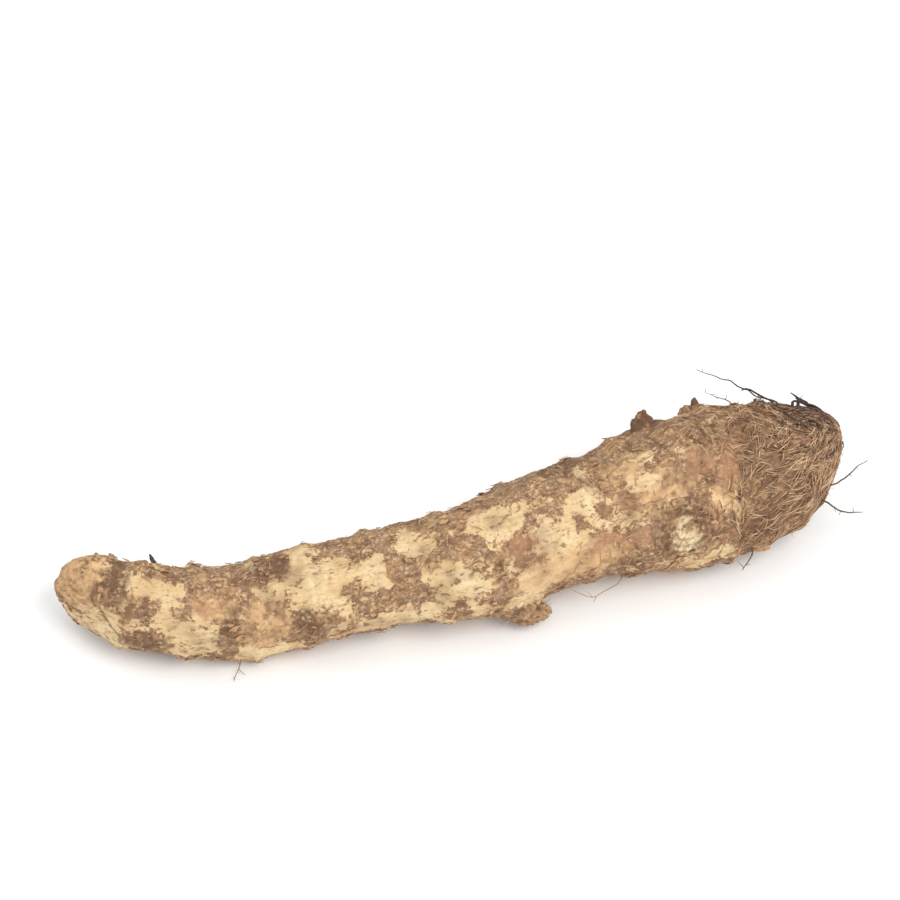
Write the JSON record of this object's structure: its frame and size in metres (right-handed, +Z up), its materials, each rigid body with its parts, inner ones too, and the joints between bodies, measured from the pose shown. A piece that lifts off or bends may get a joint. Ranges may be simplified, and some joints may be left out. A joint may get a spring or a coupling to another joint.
{
  "type": "taro root",
  "caption": "Long taro corm lying on its side, with a fibrous crown, low leaf-scar rings, buds, a broken side shoot, a round scar and wiry rootlets.",
  "frame": {"origin": "on the surface that the root lies on, under the middle of its bounding box", "axes": "+Z up; +X along the root, from the old tail end to the fibrous crown; +Y away from the side that the picture shows"},
  "size_m": [0.307, 0.0688, 0.0567],
  "materials": {
    "taro_bark": "dry corky bark in browns, peeled in patches to matt cream skin, with dry fibres on the crown"
  },
  "bodies": {
    "root": {"taro_root": "taro_bark"}
  },
  "joints": []
}
